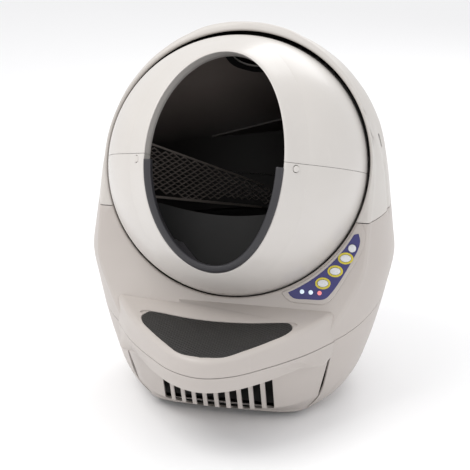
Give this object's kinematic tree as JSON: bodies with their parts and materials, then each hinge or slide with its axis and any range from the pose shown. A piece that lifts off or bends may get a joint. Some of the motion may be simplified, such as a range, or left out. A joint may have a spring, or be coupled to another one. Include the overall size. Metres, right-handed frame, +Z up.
{
  "type": "cat litter box with hood",
  "caption": "Self-cleaning litter box: a tilted globe with an oval entry turns in a base with a step and waste drawer, under a hinged bonnet.",
  "frame": {"origin": "centre of the bounding box at floor level, under the feet", "axes": "+Z up, front (entry and drawer) toward -Y, +X to the right seen from the front"},
  "size_m": [0.616, 0.686, 0.749],
  "materials": {
    "shell_plastic": "moulded warm off-white plastic with a fine satin texture",
    "globe_plastic": "smooth satin off-white plastic",
    "base_plastic": "moulded warm off-white plastic",
    "black_rubber": "soft black ribbed rubber",
    "grey_rubber": "dark grey matt rubber",
    "black_plastic": "black moulded plastic",
    "navy_overlay": "printed indigo polyester overlay",
    "yellow_ring": "printed yellow ring",
    "white_key": "off-white key top",
    "light_window": "small lit window",
    "red_window": "small lit red window",
    "board": "green circuit board",
    "steel": "plain steel",
    "carbon": "black carbon felt"
  },
  "bodies": {
    "base": {"base_upper_shell": "shell_plastic", "base_lower_shell": "base_plastic", "step_mat": "black_rubber", "control_bezel": "shell_plastic", "control_overlay": "navy_overlay", "cycle_button_ring": "yellow_ring", "empty_button_ring": "yellow_ring", "reset_button_ring": "yellow_ring", "ready_light": "light_window", "timer_light": "light_window", "full_light": "red_window", "circuit_board": "board", "waste_chute": "black_plastic", "drive_motor": "steel", "motor_bracket": "steel", "roller_axle_left": "steel", "roller_axle_right": "steel", "roller_bracket_left": "black_plastic", "roller_bracket_right": "black_plastic", "foot_front_left": "base_plastic", "foot_front_right": "base_plastic", "foot_rear_left": "base_plastic", "foot_rear_right": "base_plastic", "power_inlet": "black_plastic", "hinge_pin": "steel"},
    "globe": {"globe_upper_shell": "globe_plastic", "globe_lower_shell": "globe_plastic", "ring_gear": "globe_plastic", "entry_trim": "grey_rubber", "litter_liner": "grey_rubber", "sifting_screen": "black_plastic", "septum": "black_plastic", "waste_port_seal": "grey_rubber", "screw_cap_left": "globe_plastic", "screw_cap_right": "globe_plastic"},
    "drive_gear": {"drive_gear": "black_plastic"},
    "roller_left": {"roller_left": "grey_rubber"},
    "roller_right": {"roller_right": "grey_rubber"},
    "bonnet": {"bonnet_shell": "shell_plastic"},
    "latch_left": {"latch_left": "black_plastic"},
    "latch_right": {"latch_right": "black_plastic"},
    "drawer": {"drawer_front": "base_plastic", "drawer_tray": "black_plastic", "carbon_filter": "carbon"},
    "power_button": {"power_button": "white_key"},
    "cycle_button": {"cycle_button": "white_key"},
    "empty_button": {"empty_button": "white_key"},
    "reset_button": {"reset_button": "white_key"}
  },
  "joints": [
    {"name": "globe_spin", "type": "hinge", "parent": "base", "child": "globe", "pos_m": [0, 0, 0.47786], "axis": [0, -0.9373, 0.3486], "range_deg": [-30, 235]},
    {"name": "drive_gear_spin", "type": "hinge", "parent": "base", "child": "drive_gear", "pos_m": [-0.18925, -0.0505, 0.25601], "axis": [0, -0.9373, 0.3486], "range_deg": [-1900, 260]},
    {"name": "roller_left_spin", "type": "hinge", "parent": "base", "child": "roller_left", "pos_m": [-0.12457, -0.07538, 0.24505], "axis": [0, -0.9373, 0.3486], "range_deg": [-4500, 600]},
    {"name": "roller_right_spin", "type": "hinge", "parent": "base", "child": "roller_right", "pos_m": [0.12457, -0.07538, 0.24505], "axis": [0, -0.9373, 0.3486], "range_deg": [-4500, 600]},
    {"name": "bonnet_hinge", "type": "hinge", "parent": "base", "child": "bonnet", "pos_m": [0, 0.338, 0.4], "axis": [-1, 0, 0], "range_deg": [0, 75]},
    {"name": "drawer_slide", "type": "slide", "parent": "base", "child": "drawer", "axis": [0, -1, 0], "range_m": [0, 0.3]},
    {"name": "latch_left_press", "type": "slide", "parent": "bonnet", "child": "latch_left", "axis": [1, 0, 0], "range_m": [0, 0.0015], "stiffness_N_per_m": 1500, "springref_m": -0.0005},
    {"name": "latch_right_press", "type": "slide", "parent": "bonnet", "child": "latch_right", "axis": [-1, 0, 0], "range_m": [0, 0.0015], "stiffness_N_per_m": 1500, "springref_m": -0.0005},
    {"name": "power_button_press", "type": "slide", "parent": "base", "child": "power_button", "axis": [0, 0.9275, -0.3738], "range_m": [0, 0.0012], "stiffness_N_per_m": 1500, "springref_m": -0.0005},
    {"name": "cycle_button_press", "type": "slide", "parent": "base", "child": "cycle_button", "axis": [0, 0.9275, -0.3738], "range_m": [0, 0.0012], "stiffness_N_per_m": 1500, "springref_m": -0.0005},
    {"name": "empty_button_press", "type": "slide", "parent": "base", "child": "empty_button", "axis": [0, 0.9275, -0.3738], "range_m": [0, 0.0012], "stiffness_N_per_m": 1500, "springref_m": -0.0005},
    {"name": "reset_button_press", "type": "slide", "parent": "base", "child": "reset_button", "axis": [0, 0.9275, -0.3738], "range_m": [0, 0.0012], "stiffness_N_per_m": 1500, "springref_m": -0.0005}
  ],
  "couplings": [
    {"joint": "drive_gear_spin", "follows": "globe_spin", "ratio": -8},
    {"joint": "roller_left_spin", "follows": "globe_spin", "ratio": -18.571},
    {"joint": "roller_right_spin", "follows": "globe_spin", "ratio": -18.571}
  ]
}
